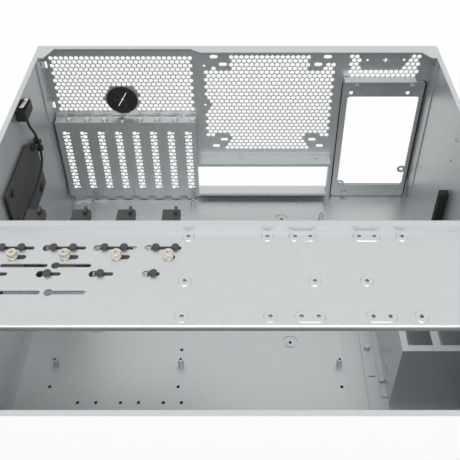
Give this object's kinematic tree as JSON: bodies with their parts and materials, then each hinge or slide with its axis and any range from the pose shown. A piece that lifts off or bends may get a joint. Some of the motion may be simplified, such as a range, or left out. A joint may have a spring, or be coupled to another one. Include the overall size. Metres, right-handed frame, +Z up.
{
  "type": "rackmount server case",
  "caption": "Open-top 19 inch server case in galvanised sheet with card slots, perforated rear panel, cross bar, drive cage and rack ears.",
  "frame": {"origin": "centre of the bounding box at the case's underside", "axes": "+X to the right seen from the front, +Y to the rear panel, +Z up"},
  "size_m": [0.4826, 0.469, 0.22],
  "materials": {
    "galvanised": "satin",
    "nickel": "polished",
    "dark_plastic": "matte",
    "black_plastic": "matte",
    "rubber": "matte",
    "foam": "matte",
    "pale_paint": "satin",
    "board": "gloss",
    "lens": "gloss"
  },
  "bodies": {
    "case": {"bar_screws": "nickel", "cable_grommet": "rubber", "cage_divider": "galvanised", "cage_screws": "nickel", "chassis_shell": "galvanised", "control_board": "board", "cross_bar": "galvanised", "data_sockets": "black_plastic", "drive_cage": "galvanised", "ear_screws": "nickel", "fan_frame_1": "black_plastic", "fan_frame_2": "black_plastic", "fan_screws": "nickel", "floor_rail": "galvanised", "foam_strip": "foam", "frame_rivets": "nickel", "front_panel": "pale_paint", "guard_rivets": "black_plastic", "handle_left": "pale_paint", "handle_right": "pale_paint", "handle_screws": "nickel", "lead_clips": "black_plastic", "lid_switch": "black_plastic", "motherboard_standoffs": "nickel", "motherboard_tray": "galvanised", "psu_bracket": "galvanised", "psu_gasket": "rubber", "psu_screws": "nickel", "rack_ear_left": "pale_paint", "rack_ear_right": "pale_paint", "rail_studs": "nickel", "rear_panel": "galvanised", "slot_cover_1": "galvanised", "slot_cover_2": "galvanised", "slot_cover_3": "galvanised", "slot_cover_4": "galvanised", "slot_cover_5": "galvanised", "slot_cover_6": "galvanised", "slot_cover_7": "galvanised", "slot_cover_8": "galvanised", "slot_frame": "galvanised", "slot_screws": "nickel", "status_lamps": "lens", "switch_lead": "black_plastic", "wall_guard": "dark_plastic"},
    "retainer_1": {"card_retainer_1": "dark_plastic", "retainer_screw_1": "nickel"},
    "retainer_2": {"card_retainer_2": "dark_plastic", "retainer_screw_2": "nickel"},
    "retainer_3": {"card_retainer_3": "dark_plastic", "retainer_screw_3": "nickel"},
    "retainer_4": {"card_retainer_4": "dark_plastic", "retainer_screw_4": "nickel"},
    "rotor_1": {"fan_rotor_1": "black_plastic"},
    "rotor_2": {"fan_rotor_2": "black_plastic"},
    "power": {"power_button": "black_plastic"},
    "reset": {"reset_button": "black_plastic"},
    "lever": {"switch_lever": "nickel"}
  },
  "joints": [
    {"name": "retainer_1_slide", "type": "slide", "parent": "case", "child": "retainer_1", "axis": [1, 0, 0], "range_m": [-0.002, 0.008]},
    {"name": "retainer_2_slide", "type": "slide", "parent": "case", "child": "retainer_2", "axis": [1, 0, 0], "range_m": [-0.002, 0.008]},
    {"name": "retainer_3_slide", "type": "slide", "parent": "case", "child": "retainer_3", "axis": [1, 0, 0], "range_m": [-0.002, 0.008]},
    {"name": "retainer_4_slide", "type": "slide", "parent": "case", "child": "retainer_4", "axis": [1, 0, 0], "range_m": [-0.002, 0.003]},
    {"name": "lever_pivot", "type": "hinge", "parent": "case", "child": "lever", "pos_m": [-0.2065, 0.14095, 0.214], "axis": [1, 0, 0], "range_deg": [0, 8], "stiffness_Nm_per_rad": 0.02, "springref_deg": -5.73},
    {"name": "power_press", "type": "slide", "parent": "case", "child": "power", "axis": [0, 1, 0], "range_m": [0, 0.0015], "stiffness_N_per_m": 800, "springref_m": -0.0005},
    {"name": "reset_press", "type": "slide", "parent": "case", "child": "reset", "axis": [0, 1, 0], "range_m": [0, 0.0015], "stiffness_N_per_m": 400, "springref_m": -0.0005},
    {"name": "rotor_1_spin", "type": "hinge", "parent": "case", "child": "rotor_1", "pos_m": [-0.075, -0.18005, 0.074], "axis": [0, 1, 0], "continuous": true},
    {"name": "rotor_2_spin", "type": "hinge", "parent": "case", "child": "rotor_2", "pos_m": [0.055, -0.18005, 0.074], "axis": [0, 1, 0], "continuous": true}
  ]
}
